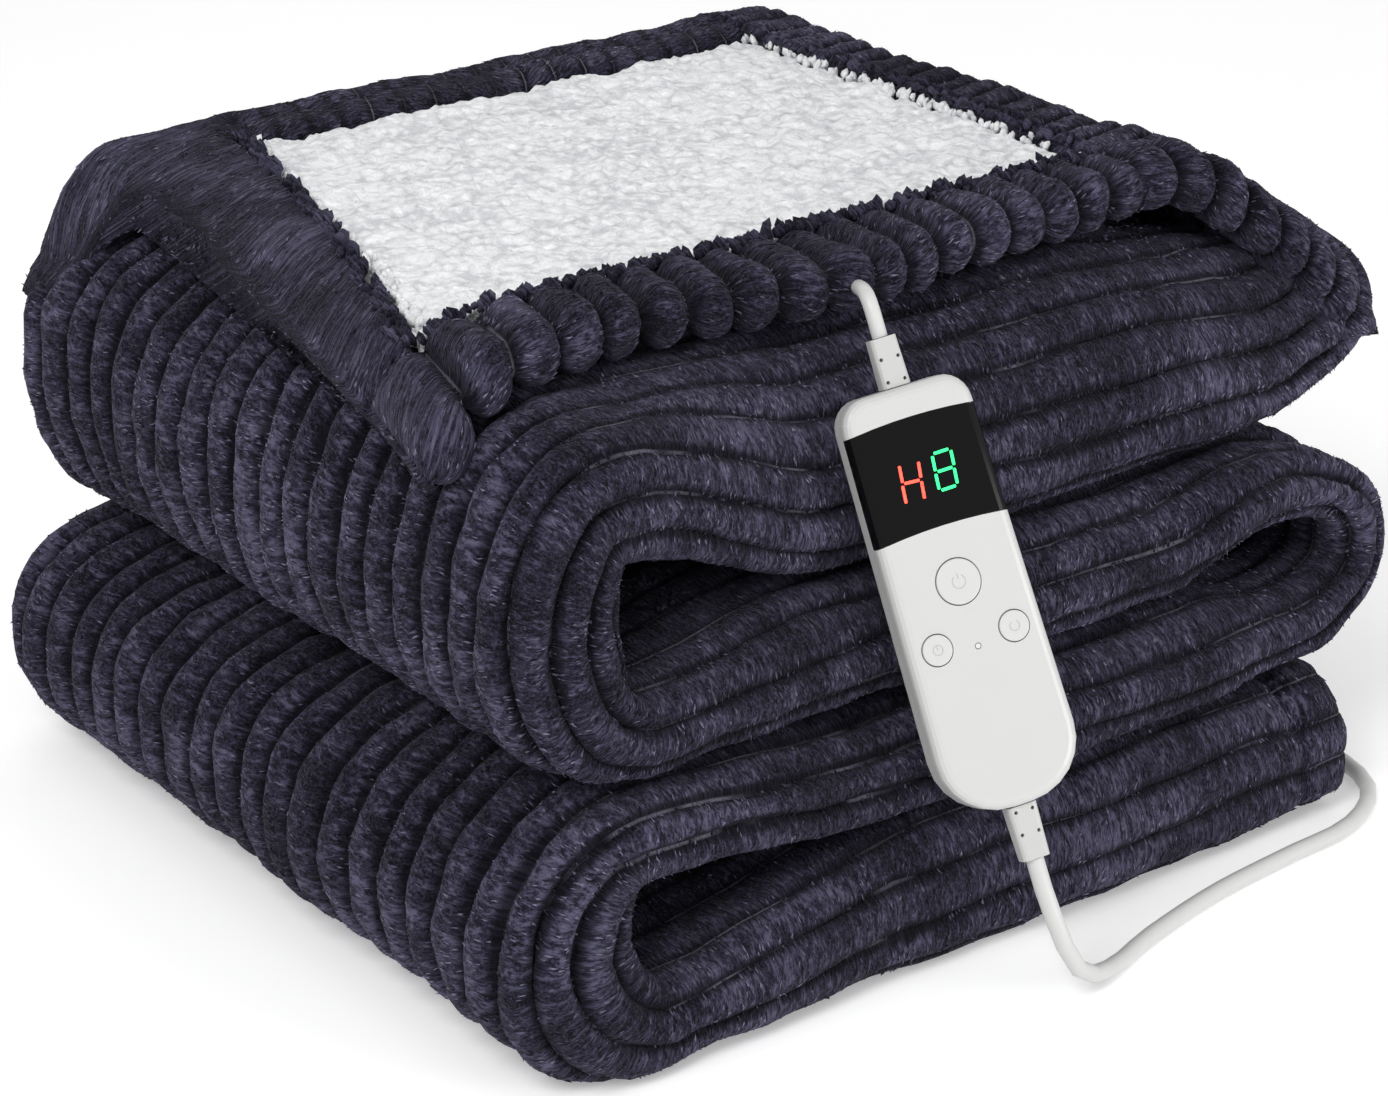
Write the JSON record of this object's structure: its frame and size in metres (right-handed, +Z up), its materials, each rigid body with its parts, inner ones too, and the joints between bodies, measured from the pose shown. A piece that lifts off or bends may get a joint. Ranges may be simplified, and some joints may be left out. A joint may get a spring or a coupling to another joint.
{
  "type": "folded electric heated blanket",
  "caption": "Folded ribbed plush heated blanket with a turned-back pile corner, a hand controller with display and keys, and a coiled mains lead.",
  "frame": {"origin": "middle of the footprint of the blanket with its controller, on the surface that it rests on", "axes": "+Z up, +X along the folded layers to the right-hand folds, +Y from the face with the controller to the back"},
  "size_m": [0.5016, 0.5644, 0.2637],
  "materials": {
    "plush": "deep matt plush with sheen",
    "pile": "curly white pile",
    "case_plastic": "satin white",
    "display_black": "glossy black window",
    "key_plastic": "satin white",
    "lamp_plastic": "milky",
    "lead_vinyl": "soft white sheath",
    "tie_plastic": "black band",
    "pin_metal": "plated"
  },
  "bodies": {
    "blanket": {"blanket_cloth": "plush", "pile_panel": "pile", "case_front": "case_plastic", "case_back": "case_plastic", "display_window": "display_black", "lamp": "lamp_plastic", "relief_upper": "case_plastic", "relief_lower": "case_plastic", "low_lead": "lead_vinyl", "mains_lead": "lead_vinyl", "mains_coil": "lead_vinyl", "coil_tie": "tie_plastic", "plug_body": "case_plastic", "plug_pin_1": "pin_metal", "plug_pin_2": "pin_metal"},
    "power_key": {"key_power": "key_plastic"},
    "timer_key": {"key_timer": "key_plastic"},
    "level_key": {"key_level": "key_plastic"}
  },
  "joints": [
    {"name": "power_press", "type": "slide", "parent": "blanket", "child": "power_key", "axis": [0.3422, 0.847, -0.4067], "range_m": [0, 0.0005], "stiffness_N_per_m": 1500},
    {"name": "timer_press", "type": "slide", "parent": "blanket", "child": "timer_key", "axis": [0.3422, 0.847, -0.4067], "range_m": [0, 0.0005], "stiffness_N_per_m": 1500},
    {"name": "level_press", "type": "slide", "parent": "blanket", "child": "level_key", "axis": [0.3422, 0.847, -0.4067], "range_m": [0, 0.0005], "stiffness_N_per_m": 1500}
  ]
}
